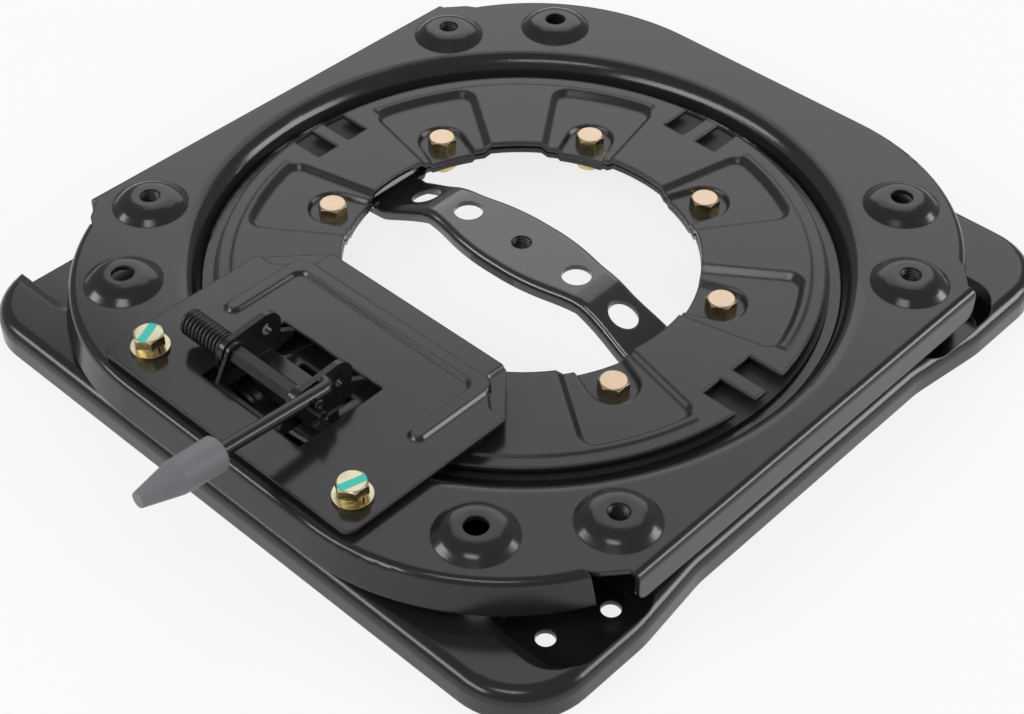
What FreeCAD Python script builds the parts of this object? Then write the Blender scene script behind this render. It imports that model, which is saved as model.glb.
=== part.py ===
import FreeCAD, Part
import math
import os

# Swivel seat base: a fixed pressed base, a pressed turntable that turns on it and a lever latch.
# Millimetres. The origin is on the swivel axis, on the plane that the base stands on.
# +Z is up, and the latch and its handle are on the -Y side.

# Sheet and height of the base
BASE_SHEET = 2.5
BASE_TOP = 15.0
BASE_HALF_X = 184.0
BASE_HALF_Y = 194.5
BASE_WAIST_X = 178.8
BASE_WAIST_HALF_Y = 80.0
BASE_SWELL_Y = 122.0
BASE_CORNER_R = 36.0
BASE_EDGE_R = 7.0
BASE_SIDE_R = 60.0
POCKET_INNER_X = 127.0
POCKET_SIDE_RIM = 5.0
POCKET_CORNER_R = 14.0
POCKET_SLOPE = 6.0
POCKET_RAMP = 6.0
POCKET_RAMP_DEPTH = 2.6
POCKET_RAMP_START = 3.6
POCKET_RAMP_INSET = 4.0
FRONT_POCKET_Y = (-166.0, -102.0)
REAR_POCKET_Y = (84.0, 148.0)
BASE_HOLE_R = 4.5
BASE_HOLES = ((153.0, 17.8), (162.3, 47.9))

# Swivel bearing
OPENING_R = 86.5
HUB_R = 114.0
RACE_R = 156.0
RACE_SLOPE = 5.0
RACE_HEIGHT = 5.7
LOWER_GLIDE_THICK = 2.3
LOWER_GLIDE_R = 150.0
GLIDE_PLAY = 0.2
COLLAR_THICK = 1.6
FIT_GAP = 0.3
UPPER_GLIDE_THICK = 2.3
UPPER_GLIDE_R = 148.0

# Retainer ring
RING_SHEET = 2.5
RING_R = 145.7
PANEL_DROP = 2.3
PANEL_R = 135.0
PANEL_SIDE_START = (85.5, 17.0)
PANEL_SIDE_END = (133.0, 28.0)
PANEL_CORNER_R = 5.0
PANEL_SLOPE = 4.0
MIDDLE_PANEL_HALF = 9.5
FRAME_RISE = 0.7
FRAME_R = 139.7
FRAME_START = 12.6
FRAME_SLOPE = 1.0
NOTCH_R = 126.0
NOTCH_INNER = 3.9
NOTCH_OUTER = 16.7
HUB_GAP = 1.0

# Ring bolts
BOLT_COUNT = 8
BOLT_CIRCLE_R = 100.0
SEAT_R = 11.0
SEAT_SLOPE = 4.0
SEAT_DROP = 2.35
M8_R = 4.0
M8_HOLE_R = 4.5
M8_FLATS = 13.0
M8_HEAD = 5.3
M8_NUT = 6.5
NUT_BORE_PLAY = 0.05
RING_WASHER_R = 8.0
RING_WASHER_THICK = 1.6
THREAD_PAST_NUT = 1.8

# Strap across the opening
STRAP_TOP = 38.0
STRAP_FLAT_HALF = 50.0
STRAP_FOOT_X = 81.0
STRAP_FOOT_TOP = 24.3
STRAP_LENGTH_HALF = 90.0
STRAP_HALF_WIDTHS = ((18.0, 21.0), (50.0, 13.0), (74.0, 15.5), (95.0, 17.0))
STRAP_SIDE_BENDS = (120.0, 90.0, 60.0, 0.0)
STRAP_BEND_R = 4.0
STRAP_EDGE_DEPTH = 7.0
STRAP_EDGE_R = 4.0
STRAP_HOLE_R = 7.25
STRAP_HOLE_X = (35.5, 65.0)
STRAP_BOLT_R = 5.0
STRAP_MIDDLE_HALF = 24.0
STRAP_LANDING_R = 89.5
STRAP_LANDING_HALF = 17.5
STRAP_LANDING_SLOPE = 4.0
WELD_NUT_FLATS = 17.0
WELD_NUT_HEIGHT = 8.0

# Turntable
TABLE_SHEET = 2.5
TABLE_TOP = 38.0
TABLE_SKIRT = 16.5
TABLE_HALF_X = 178.3
TABLE_FLANGE_HALF_Y = 120.5
TABLE_FLANGE_END_R = 6.0
TABLE_CORNER = (60.0, 75.0)
TABLE_CORNER_R = 118.0
TABLE_FLARE = 3.5
TABLE_BEND_R = 4.0
TABLE_EDGE_STRIP = 12.0
TABLE_NOTCH = (165.0, 130.5)
TABLE_END_Y = 133.0
RECESS_R = 161.0
RECESS_FOOT_R = 153.5
RECESS_BEND = 1.5
RECESS_SHOULDER = 6.5
RECESS_FLAT = 4.0
RECESS_TOP_INSET = 1.0
RECESS_FLARE = 2.5
RECESS_FLARE_RISE = 6.5
BOSS_RISE = 5.0
BOSS_R = 18.8
BOSS_TOP_R = 12.5
BOSS_SHOULDER = 9.5
BOSS_STRIP = 0.2
BOSS_HOLE_R = 5.5
BOSS_THREAD_R = 5.0
THREADED_BOSS = (152.0, 103.6)
PLAIN_BOSS = (114.9, 149.4)

# Lock cover plate
COVER_SHEET = 2.0
COVER_GAP = 2.0
COVER_HALF_X = 80.5
COVER_FRONT_Y = -188.5
COVER_BACK_Y = -71.5
COVER_CORNER_R = 5.0
COVER_CHAMFER = (58.0, -96.0)
COVER_SIDE_R = 2.0
COVER_BACK_R = 4.0
COVER_FACET = (71.5, -81.5)
COVER_FACET_DROP = 1.6
COVER_FACET_SLOPE = 2.0
RIB_RISE = 1.8
RIB_OUTER_X = 64.5
RIB_BACK_Y = -82.5
RIB_FRONT_Y = -133.0
RIB_WIDTH = 9.0
RIB_SLOPE = 1.6
RIB_INNER_R = 4.0
RIB_OUTER_R = 8.0
WINDOW_X = (-36.0, 28.7)
WINDOW_Y = (-168.2, -119.0)
TABLE_WINDOW_BACK_Y = -146.0
TABLE_WINDOW_ABOVE_LIP = 0.8
COVER_BOLT = (66.0, -172.0)
FLAT_WASHER_R = 9.0
FLAT_WASHER_THICK = 1.6
SPRING_WASHER_R = 6.8
SPRING_WASHER_THICK = 2.1
COVER_BOLT_LENGTH = 20.0

# Latch
PIVOT_Y = -155.3
PIVOT_ABOVE_COVER = 10.5
PIN_R = 3.0
PIN_END_R = 2.2
PIN_LEFT_X = -59.4
PIN_RIGHT_X = 31.0
PIN_FIT = 0.05
PIN_SLOT = 2.2
PIN_SLOT_DEPTH = 5.0
PAWL_SHEET = 3.0
PAWL_LEFT_X = -27.5
PAWL_RIGHT_X = 16.0
EYE_Y = -135.4
EYE_RISE = 0.65
EYE_R = 8.0
EYE_HOLE_R = 3.0
PAWL_PIVOT_R = 7.0
PAWL_SLOT_R = 2.0
PAWL_SLOT_HALF = 2.5
PAWL_TAIL_GAP = 1.3
PAWL_TAIL = (0.8, -2.2)
PAWL_HEEL_BELOW = 13.0
WEB_Y = (-142.5, -134.5)
WEB_BELOW_COVER = 1.0
TOOTH_GAP = 0.4
TOOTH_PLAY = 0.6
BRACKET_SHEET = 2.0
LUG_GAP = 0.4
LUG_R = 6.0
LUG_BACK_Y = -149.0
FLANGE_HALF_X = 76.0
FLANGE_FRONT_Y = -183.0
SPACER_FLATS = 8.0
SPRING_WIRE_R = 1.0
SPRING_COIL_R = 5.5
SPRING_PITCH = 2.35
SPRING_TURNS = 10.5
SPRING_TURN_SIDES = 12
SPRING_LEG = 9.0
ROD_R = 3.3
ROD_X = 23.2
ROD_START_Y = -144.5
ROD_START_RISE = 15.6
ROD_SLOPE = 4.4
ROD_BEND_R = 5.0
GRIP_START = 61.0
GRIP_R = 8.2
GRIP_CYLINDER = 22.0
GRIP_CONE = 19.0
GRIP_TIP_R = 3.6
GRIP_EDGE = 1.2
GRIP_TAPER = 0.4
COTTER_X = 28.6
COTTER_WIRE_R = 0.9
COTTER_EYE_R = 1.7
COTTER_EYE_SIDES = 8
COTTER_LOW = -4.6
COTTER_HIGH = 3.6
COTTER_LEG = 4.0
COTTER_LEG_DROP = 0.35

# Heights that follow from the stack of pieces
RACE_TOP = BASE_TOP + RACE_HEIGHT
LOWER_GLIDE_TOP = RACE_TOP + LOWER_GLIDE_THICK
LIP_BOTTOM = LOWER_GLIDE_TOP + GLIDE_PLAY
LIP_TOP = LIP_BOTTOM + TABLE_SHEET
UPPER_GLIDE_TOP = LIP_TOP + UPPER_GLIDE_THICK
PANEL_TOP = UPPER_GLIDE_TOP + GLIDE_PLAY + RING_SHEET
RING_TOP = PANEL_TOP + PANEL_DROP
SEAT_TOP = PANEL_TOP - SEAT_DROP
HUB_TOP = RING_TOP - RING_SHEET - HUB_GAP
HUB_SEAT_TOP = SEAT_TOP - RING_SHEET
HUB_PANEL_DROP = PANEL_DROP
HUB_FRAME_RISE = FRAME_RISE - HUB_GAP / 2
LIP_R = HUB_R + FIT_GAP + COLLAR_THICK + FIT_GAP
GLIDE_INNER_R = LIP_R + FIT_GAP
TABLE_BOTTOM = TABLE_TOP - TABLE_SKIRT
COVER_BOTTOM = TABLE_TOP + COVER_GAP
COVER_TOP = COVER_BOTTOM + COVER_SHEET
PIVOT_Z = COVER_TOP + PIVOT_ABOVE_COVER
DEEP = 60.0
PAST = 1.0
TOUCH = 0.01
EMBOSS_START_R = OPENING_R - 12.0


def point(x, y, z=0.0):
    return FreeCAD.Vector(x, y, z)


def upright(a, b):
    """A point of a profile that stands in the XZ plane."""
    return FreeCAD.Vector(a, 0, b)


def sideways(a, b):
    """A point of a profile that stands in the YZ plane."""
    return FreeCAD.Vector(0, a, b)


def corner(before, at, after, radius):
    """Start, middle and end of the arc that rounds one corner."""
    towards = (before - at).normalize()
    away = (after - at).normalize()
    half = towards.getAngle(away) / 2
    reach = radius / math.tan(half)
    bisector = (towards + away).normalize()
    middle = at + bisector * (radius / math.sin(half) - radius)
    return at + towards * reach, middle, at + away * reach


def rounded_edges(points, radii, closed):
    """Straight edges through the points, with an arc at each corner that has a radius."""
    count = len(points)
    corners = []
    for i, at in enumerate(points):
        ends = not closed and i in (0, count - 1)
        if ends or radii[i] < 0.01:
            corners.append((at, None, at))
        else:
            corners.append(corner(points[i - 1], at, points[(i + 1) % count], radii[i]))
    edges = []
    for i, (start, middle, end) in enumerate(corners):
        if middle is not None:
            edges.append(Part.Arc(start, middle, end).toShape())
        if i + 1 < count or closed:
            following = corners[(i + 1) % count][0]
            if (following - end).Length > 0.001:
                edges.append(Part.LineSegment(end, following).toShape())
    return edges


def outline(points, radius):
    """Closed outline in the XY plane. The radius is one number or one for each corner."""
    corners = [point(*p) for p in points]
    radii = radius if isinstance(radius, list) else [radius] * len(corners)
    return Part.Wire(rounded_edges(corners, radii, True))


def prism(wire, low, high):
    flat = Part.Face(wire)
    flat.translate(point(0, 0, low))
    return flat.extrude(point(0, 0, high - low))


def rectangle(x_range, y_range, radius=0.0):
    (x0, x1), (y0, y1) = x_range, y_range
    return outline([(x0, y0), (x1, y0), (x1, y1), (x0, y1)], radius)


def box(x_range, y_range, z_range):
    size = [r[1] - r[0] for r in (x_range, y_range, z_range)]
    return Part.makeBox(*size, point(x_range[0], y_range[0], z_range[0]))


def disc(radius, low, high, x=0.0, y=0.0):
    return Part.makeCylinder(radius, high - low, point(x, y, low))


def tube(outer, inner, low, high, x=0.0, y=0.0):
    return disc(outer, low, high, x, y).cut(disc(inner, low, high, x, y))


def bar_x(radius, x0, x1, y, z):
    return Part.makeCylinder(radius, x1 - x0, point(x0, y, z), point(1, 0, 0))


def drafted(wire, grow, low, high):
    """Solid with sloping sides: the outline at the low plane, grown by a margin at the high one."""
    wide = wire.makeOffset2D(grow)
    wide.translate(point(0, 0, high))
    narrow = wire.copy()
    narrow.translate(point(0, 0, low))
    return Part.makeLoft([narrow, wide], True, True)


def fuse_all(shapes):
    return shapes[0].multiFuse(shapes[1:]) if len(shapes) > 1 else shapes[0]


def turned(shape, degrees):
    copy = shape.copy()
    copy.rotate(point(0, 0), point(0, 0, 1), degrees)
    return copy


def mirrored_x(shape):
    return shape.mirror(point(0, 0), point(1, 0, 0))


def quarters(shape):
    """The shape and its mirror image, in each of the four quarters."""
    pair = (shape, shape.mirror(point(0, 0), point(0, 1, 0)))
    return [turned(one, 90 * i) for i in range(4) for one in pair]


def bent_sheet(points, thick, inner, place):
    """Section of a folded sheet: one face runs through the points, the other lies to their right.

    The inner radius is one number, or one for each bend.
    """
    inner_radii = inner if isinstance(inner, tuple) else [inner] * (len(points) - 2)
    normals = []
    for (a0, b0), (a1, b1) in zip(points, points[1:]):
        length = math.hypot(a1 - a0, b1 - b0)
        normals.append(((b1 - b0) / length, (a0 - a1) / length))
    left_radii = [0.0]
    right_radii = [0.0]
    right = [(points[0][0] + thick * normals[0][0], points[0][1] + thick * normals[0][1])]
    for (a, b), before, after, bend in zip(points[1:-1], normals, normals[1:], inner_radii):
        share = thick / (1 + before[0] * after[0] + before[1] * after[1])
        right.append((a + share * (before[0] + after[0]), b + share * (before[1] + after[1])))
        turns_left = before[0] * after[1] - before[1] * after[0] > 0
        left_radii.append(bend if turns_left else bend + thick)
        right_radii.append(bend + thick if turns_left else bend)
    a, b = points[-1]
    right.append((a + thick * normals[-1][0], b + thick * normals[-1][1]))
    left_radii.append(0.0)
    right_radii.append(0.0)
    left_face = rounded_edges([place(*p) for p in points], left_radii, False)
    right_face = rounded_edges([place(*p) for p in right], right_radii, False)
    ends = [Part.LineSegment(place(*points[i]), place(*right[i])).toShape() for i in (0, -1)]
    return Part.Face(Part.Wire(Part.__sortEdges__(left_face + right_face + ends)))


def revolved(face, x=0.0, y=0.0):
    solid = face.revolve(point(0, 0), point(0, 0, 1), 360)
    solid.translate(point(x, y, 0))
    return solid


def hexagon(flats, low, high, x=0.0, y=0.0):
    radius = flats / math.sqrt(3)
    turns = [math.radians(30 + 60 * i) for i in range(6)]
    corners = [(x + radius * math.cos(a), y + radius * math.sin(a)) for a in turns]
    return prism(outline(corners, 0.0), low, high)


def chamfered_hexagon(flats, low, high, x, y, both_ends=False):
    """Hexagon whose corners are turned off at 30 degrees, as on a bolt head or a nut."""
    solid = hexagon(flats, low, high, x, y)
    corner_r = flats / math.sqrt(3)
    drop = (corner_r - flats * 0.47) * math.tan(math.radians(30))
    middle = (low + high) / 2
    cone_r = flats * 0.47 + (high - middle) / math.tan(math.radians(30))
    top = Part.makeCone(cone_r, flats * 0.47, high - middle, point(x, y, middle))
    foot = disc(corner_r + drop, low, middle, x, y)
    if both_ends:
        foot = Part.makeCone(flats * 0.47, cone_r, middle - low, point(x, y, low))
    return solid.common(top.fuse(foot))


def bolt_places():
    for i in range(BOLT_COUNT):
        angle = math.radians(360 / BOLT_COUNT * (i + 0.5))
        yield BOLT_CIRCLE_R * math.cos(angle), BOLT_CIRCLE_R * math.sin(angle)


def four_corners():
    for sx in (1, -1):
        for sy in (1, -1):
            yield sx, sy


# Embossing that the retainer ring and the hub of the base share

def panel_wire():
    """Outline of the lowered panel beside the notches, before its corners are rounded."""
    (x0, y0), (x1, y1) = PANEL_SIDE_START, PANEL_SIDE_END
    slope = (y1 - y0) / (x1 - x0)
    reach = EMBOSS_START_R + 2 * PAST
    start = point(reach, y0 + slope * (reach - x0))
    start_turn = math.atan2(y1, x1)
    end_turn = math.radians(45 - MIDDLE_PANEL_HALF)
    half_turn = (start_turn + end_turn) / 2
    outer_start = point(PANEL_R * math.cos(start_turn), PANEL_R * math.sin(start_turn))
    outer_middle = point(PANEL_R * math.cos(half_turn), PANEL_R * math.sin(half_turn))
    outer_end = point(PANEL_R * math.cos(end_turn), PANEL_R * math.sin(end_turn))
    end_r = EMBOSS_START_R - 2 * PAST
    end = point(end_r * math.cos(end_turn), end_r * math.sin(end_turn))
    sides = [Part.LineSegment(start, outer_start), Part.Arc(outer_start, outer_middle, outer_end),
             Part.LineSegment(outer_end, end), Part.LineSegment(end, start)]
    return Part.Wire([side.toShape() for side in sides])


def lowered_panel(floor, top):
    inset = panel_wire().makeOffset2D(-PANEL_CORNER_R - PANEL_SLOPE / 2, 2)
    return drafted(inset.makeOffset2D(PANEL_CORNER_R), PANEL_SLOPE, floor, top)


def seat_wire():
    """Seat of one bolt on the +X axis: a half round, open towards the opening."""
    reach = EMBOSS_START_R
    start = point(reach, -SEAT_R)
    side_end = point(BOLT_CIRCLE_R, -SEAT_R)
    tip = point(BOLT_CIRCLE_R + SEAT_R, 0)
    other = point(BOLT_CIRCLE_R, SEAT_R)
    end = point(reach, SEAT_R)
    sides = [Part.LineSegment(start, side_end), Part.Arc(side_end, tip, other),
             Part.LineSegment(other, end), Part.LineSegment(end, start)]
    return Part.Wire([side.toShape() for side in sides])


def sector_wire():
    """Quarter frame that stands a little higher than the rim of the ring."""
    turns = [math.radians(a) for a in (FRAME_START, 45, 90 - FRAME_START)]
    outer = [point(FRAME_R * math.cos(a), FRAME_R * math.sin(a)) for a in turns]
    reach = EMBOSS_START_R
    inner = [point(reach * math.cos(a), reach * math.sin(a)) for a in turns]
    sides = [Part.LineSegment(inner[0], outer[0]), Part.Arc(*outer),
             Part.LineSegment(outer[2], inner[2]), Part.Arc(*reversed(inner))]
    return Part.Wire([side.toShape() for side in sides])


def pressed_disc(radius, level, rise, panel_drop, seat):
    """Everything under the pressed surface, out to a radius."""
    body = disc(radius, level - DEEP, level)
    frame = sector_wire().makeOffset2D(-FRAME_SLOPE)
    wide = frame.makeOffset2D(FRAME_SLOPE)
    wide.translate(point(0, 0, level - 0.5))
    frame.translate(point(0, 0, level + rise))
    raised = Part.makeLoft([wide, frame], True, True).common(disc(radius, level - 1, level + 5))
    body = fuse_all([body] + [turned(raised, 90 * i) for i in range(4)])
    floor = level - panel_drop
    top = level + rise + 0.4
    cuts = quarters(lowered_panel(floor, top))
    seat_cut = drafted(seat_wire(), SEAT_SLOPE, seat, top)
    cuts += [turned(seat_cut, 360 / BOLT_COUNT * (i + 0.5)) for i in range(BOLT_COUNT)]
    return body.cut(cuts)


# Fixed side

def base_outline(inset):
    x, y = BASE_HALF_X - inset, BASE_HALF_Y - inset
    waist = BASE_WAIST_X - inset
    swell, straight = BASE_SWELL_Y, BASE_WAIST_HALF_Y
    half = [(x, -y), (x, -swell), (waist, -straight), (waist, straight), (x, swell), (x, y)]
    points = half + [(-px, py) for px, py in reversed(half)]
    corner_r = BASE_CORNER_R - inset
    radii = [corner_r] + [BASE_SIDE_R] * 4 + [corner_r]
    return outline(points, radii + radii)


def corner_pocket(y_range, wall, floor, open_side):
    """Space over one corner pocket, which reaches down to the mounting plane."""
    side = BASE_HALF_X - POCKET_SIDE_RIM - POCKET_SLOPE / 2 + wall
    if open_side:
        side = BASE_HALF_X + 2 * POCKET_CORNER_R
    x_range = (POCKET_INNER_X + POCKET_SLOPE - wall, side)
    y_range = (y_range[0] + POCKET_SLOPE - wall, y_range[1] - POCKET_SLOPE + wall)
    wire = rectangle(x_range, y_range, POCKET_CORNER_R + wall - POCKET_SLOPE / 2)
    well = drafted(wire, POCKET_SLOPE, floor, BASE_TOP + 3 * PAST)
    return well.fuse(pocket_ramp(x_range, y_range, wall))


def pocket_ramp(x_range, y_range, wall):
    """Space over the gentle slope at the outer end of a pocket, with the sheet as thick as beside it."""
    outward = math.copysign(1, y_range[0])
    end = y_range[0] if outward < 0 else y_range[1]
    shift = 0.8 * wall
    foot = end + outward * (POCKET_RAMP_START - shift)
    head = foot + outward * POCKET_RAMP * (1 + PAST / POCKET_RAMP_DEPTH)
    x0, x1 = x_range[0] + shift, x_range[1] + 2 * PAST
    middle = sum(y_range) / 2
    low = rectangle((x0 + POCKET_RAMP_INSET, x1), sorted((middle, foot)), POCKET_CORNER_R)
    high = rectangle((x0, x1), sorted((middle, head)), POCKET_CORNER_R + POCKET_SLOPE / 2)
    low.translate(point(0, 0, BASE_TOP - POCKET_RAMP_DEPTH - wall))
    high.translate(point(0, 0, BASE_TOP + PAST - wall))
    return Part.makeLoft([low, high], True, True)


def base_body(inset):
    """Everything under the top face of the base, or under its bottom face when inset by the sheet."""
    body = prism(base_outline(inset), -inset, BASE_TOP - inset)
    rim = [e for e in body.Edges if e.BoundBox.ZMin > BASE_TOP - inset - TOUCH]
    body = body.makeFillet(BASE_EDGE_R - inset, rim)
    for y_range in (FRONT_POCKET_Y, REAR_POCKET_Y):
        right = corner_pocket(y_range, inset, BASE_SHEET - inset, False)
        left = mirrored_x(corner_pocket(y_range, inset, BASE_SHEET - inset, True))
        body = body.cut([right, left])
    top = RACE_TOP - inset
    foot_r = RACE_R + RACE_SLOPE - inset
    drum = Part.makeCone(foot_r, RACE_R - inset, RACE_HEIGHT, point(0, 0, top - RACE_HEIGHT))
    hub = pressed_disc(HUB_R - inset, HUB_TOP - inset, HUB_FRAME_RISE, HUB_PANEL_DROP, HUB_SEAT_TOP - inset)
    hub = hub.common(disc(HUB_R, top - PAST, TABLE_TOP))
    landing = rectangle((EMBOSS_START_R, STRAP_LANDING_R), (-STRAP_LANDING_HALF, STRAP_LANDING_HALF), 1.0)
    landing = drafted(landing, STRAP_LANDING_SLOPE, STRAP_FOOT_TOP - inset, HUB_TOP + PAST)
    return body.fuse(drum).fuse(hub.cut([landing, mirrored_x(landing)]))


def strap_outline(inset):
    half = [(x, w - inset) for x, w in STRAP_HALF_WIDTHS]
    top_side = [(-x, w) for x, w in reversed(half)] + half
    points = [(x, -w) for x, w in top_side] + list(reversed(top_side))
    bends = [*reversed(STRAP_SIDE_BENDS), *STRAP_SIDE_BENDS]
    return outline(points, bends + bends)


def strap_profile(depth):
    """Cranked sheet along the strap, wider than the strap itself."""
    foot, half_width = STRAP_FOOT_TOP, 2 * STRAP_HALF_WIDTHS[0][1]
    points = [(STRAP_LENGTH_HALF, foot), (STRAP_FOOT_X, foot), (STRAP_FLAT_HALF, STRAP_TOP)]
    points = [(-x, z) for x, z in points] + list(reversed(points))
    face = bent_sheet(points, depth, STRAP_BEND_R, upright)
    face.translate(point(0, -half_width, 0))
    return face.extrude(point(0, 2 * half_width, 0))


def strap_body(inset):
    """Everything under the strap's top face, or under its bottom face when inset by the sheet."""
    body = strap_profile(STRAP_FOOT_TOP - inset)
    body.translate(point(0, 0, -inset))
    body = body.common(prism(strap_outline(inset), 0, DEEP))
    tops = [e for e in body.Edges if e.BoundBox.ZMin > STRAP_FOOT_TOP - inset - TOUCH
            and abs(e.CenterOfMass.y) > STRAP_HALF_WIDTHS[1][1] - inset - TOUCH]
    return body.makeFillet(STRAP_EDGE_R - inset, tops)


def strap():
    """Strap across the opening: a sheet with a cranked profile and turned-down edges."""
    sheet = strap_body(0.0).cut(strap_body(BASE_SHEET)).common(strap_profile(STRAP_EDGE_DEPTH))
    holes = [disc(STRAP_BOLT_R, 0, DEEP)]
    holes += [disc(STRAP_HOLE_R, 0, DEEP, side * x) for x in STRAP_HOLE_X for side in (-1, 1)]
    return sheet.cut(holes)


def strap_middle_space():
    return box((-STRAP_MIDDLE_HALF, STRAP_MIDDLE_HALF), (-DEEP, DEEP), (0, DEEP))


def strap_middle():
    """Flat middle of the strap with its threaded hole, between the two arms that the base plate has."""
    return strap().common(strap_middle_space())


def base_plate():
    shell = base_body(0.0).cut(base_body(BASE_SHEET))
    cuts = [disc(OPENING_R, -1, DEEP)]
    cuts += [disc(M8_HOLE_R, 10, DEEP, x, y) for x, y in bolt_places()]
    for x, from_end in BASE_HOLES:
        for y in (FRONT_POCKET_Y[0] + from_end, REAR_POCKET_Y[1] - from_end):
            cuts += [disc(BASE_HOLE_R, -1, BASE_TOP, side * x, y) for side in (-1, 1)]
    return shell.cut(cuts).fuse(strap().cut(strap_middle_space()))


def retainer_ring():
    upper = pressed_disc(RING_R, RING_TOP, FRAME_RISE, PANEL_DROP, SEAT_TOP)
    lower = pressed_disc(RING_R + PAST, RING_TOP, FRAME_RISE, PANEL_DROP, SEAT_TOP)
    lower.translate(point(0, 0, -RING_SHEET))
    notch = box((NOTCH_R, RING_R + PAST), (NOTCH_INNER, NOTCH_OUTER), (0, DEEP))
    cuts = [disc(OPENING_R, 0, DEEP)] + quarters(notch)
    cuts += [disc(M8_HOLE_R, 0, DEEP, x, y) for x, y in bolt_places()]
    return upper.cut(lower).cut(cuts)


def lower_glide_ring():
    """Plastic ring on the race, with a collar that centres the lip of the turntable."""
    inner = HUB_R + FIT_GAP
    flat = tube(LOWER_GLIDE_R, inner, RACE_TOP, LOWER_GLIDE_TOP)
    collar = tube(inner + COLLAR_THICK, inner, RACE_TOP, LIP_TOP)
    return flat.fuse(collar)


def upper_glide_ring():
    return tube(UPPER_GLIDE_R, GLIDE_INNER_R, LIP_TOP, UPPER_GLIDE_TOP)


def bolt(x, y, seat, length):
    head = chamfered_hexagon(M8_FLATS, seat, seat + M8_HEAD, x, y)
    shank = disc(M8_R, seat - length, seat, x, y)
    return head.fuse(shank)


def nut(x, y, top, flats, height, bore):
    return chamfered_hexagon(flats, top - height, top, x, y, True).cut(disc(bore, top - height, top, x, y))


def ring_bolts():
    under_seat = HUB_SEAT_TOP - BASE_SHEET - RING_WASHER_THICK - M8_NUT - THREAD_PAST_NUT
    return Part.makeCompound([bolt(x, y, SEAT_TOP, SEAT_TOP - under_seat) for x, y in bolt_places()])


def ring_washers():
    top = HUB_SEAT_TOP - BASE_SHEET
    rings = [tube(RING_WASHER_R, M8_HOLE_R, top - RING_WASHER_THICK, top, x, y) for x, y in bolt_places()]
    return Part.makeCompound(rings)


def ring_nuts():
    top = HUB_SEAT_TOP - BASE_SHEET - RING_WASHER_THICK
    bore = M8_R + NUT_BORE_PLAY
    return Part.makeCompound([nut(x, y, top, M8_FLATS, M8_NUT, bore) for x, y in bolt_places()])


def strap_weld_nut():
    return nut(0, 0, STRAP_TOP - BASE_SHEET, WELD_NUT_FLATS, WELD_NUT_HEIGHT, STRAP_BOLT_R)


# Turning side

def table_edge(reach, flare, place):
    """Section of the turntable's edge: a flat strip whose outer side is bent down."""
    points = [(reach - TABLE_EDGE_STRIP, TABLE_TOP), (reach, TABLE_TOP), (reach + flare, TABLE_BOTTOM)]
    return bent_sheet(points, TABLE_SHEET, TABLE_BEND_R - TABLE_SHEET, place)


def rolled_end():
    """Edge at the rear end: a straight run between two quarter turns, bent down and flared."""
    cx, cy = TABLE_CORNER
    turn = table_edge(TABLE_CORNER_R, TABLE_FLARE, upright).revolve(point(0, 0), point(0, 0, 1), 90)
    turn.translate(point(cx, cy))
    section = table_edge(cy + TABLE_CORNER_R, TABLE_FLARE, sideways)
    section.translate(point(-cx, 0))
    run = section.extrude(point(2 * cx, 0))
    kept = box((-TABLE_HALF_X, TABLE_HALF_X), (TABLE_END_Y, 2 * TABLE_END_Y), (0, DEEP))
    return fuse_all([run, turn, mirrored_x(turn)]).common(kept)


def folded_side():
    """Edge at the right side, folded straight down, with rounded lower corners."""
    section = table_edge(TABLE_HALF_X, 0.0, upright)
    section.translate(point(0, -TABLE_FLANGE_HALF_Y))
    edge = section.extrude(point(0, 2 * TABLE_FLANGE_HALF_Y))
    ends = [e for e in edge.Edges if e.BoundBox.ZMax < TABLE_BOTTOM + TOUCH and e.BoundBox.YLength < TOUCH]
    return edge.makeFillet(TABLE_FLANGE_END_R, ends)


def table_flat():
    """Flat of the turntable inside its bent edges, with the four notched corners between them."""
    (cx, cy), inside = TABLE_CORNER, TABLE_CORNER_R - TABLE_EDGE_STRIP / 2
    middle = rectangle((-cx - inside, cx + inside), (-cy - inside, cy + inside), inside)
    nx, ny = TABLE_NOTCH
    corner_points = [(TABLE_HALF_X - TABLE_BEND_R, TABLE_FLANGE_HALF_Y - PAST), (nx, ny),
                     (nx - TABLE_BEND_R - 2 * PAST, TABLE_END_Y + PAST)]
    rear = corner_points + [(-x, y) for x, y in reversed(corner_points)]
    front = [(-x, -y) for x, y in rear]
    low = TABLE_TOP - TABLE_SHEET
    return prism(middle, low, TABLE_TOP).fuse(prism(outline(rear + front, 0.0), low, TABLE_TOP))


def table_blank():
    """Turntable sheet with its bent edges, before the pressing."""
    rear, right = rolled_end(), folded_side()
    front = rear.mirror(point(0, 0), point(0, 1, 0))
    return table_flat().fuse([rear, front, right, mirrored_x(right)])


def recess():
    """Pressed well of the turntable: shoulder, wall and the lip that runs between the glide rings."""
    points = [(RECESS_R + RECESS_FLAT, TABLE_TOP), (RECESS_R - RECESS_TOP_INSET, TABLE_TOP),
              (RECESS_FOOT_R + RECESS_FLARE, LIP_TOP + RECESS_FLARE_RISE), (RECESS_FOOT_R, LIP_TOP),
              (LIP_R, LIP_TOP)]
    bends = (RECESS_SHOULDER, RECESS_BEND, RECESS_BEND)
    return revolved(bent_sheet([(-x, z) for x, z in points], TABLE_SHEET, bends, upright))


def boss(x, y, hole_r):
    """Raised boss round one seat bolt: a sharp crease at its foot and a wide bend at its top."""
    points = [(BOSS_R + BOSS_STRIP, TABLE_TOP), (BOSS_R, TABLE_TOP), (BOSS_TOP_R, TABLE_TOP + BOSS_RISE),
              (hole_r, TABLE_TOP + BOSS_RISE)]
    face = bent_sheet([(-a, z) for a, z in points], TABLE_SHEET, (0.0, BOSS_SHOULDER), upright)
    return revolved(face, x, y)


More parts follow.
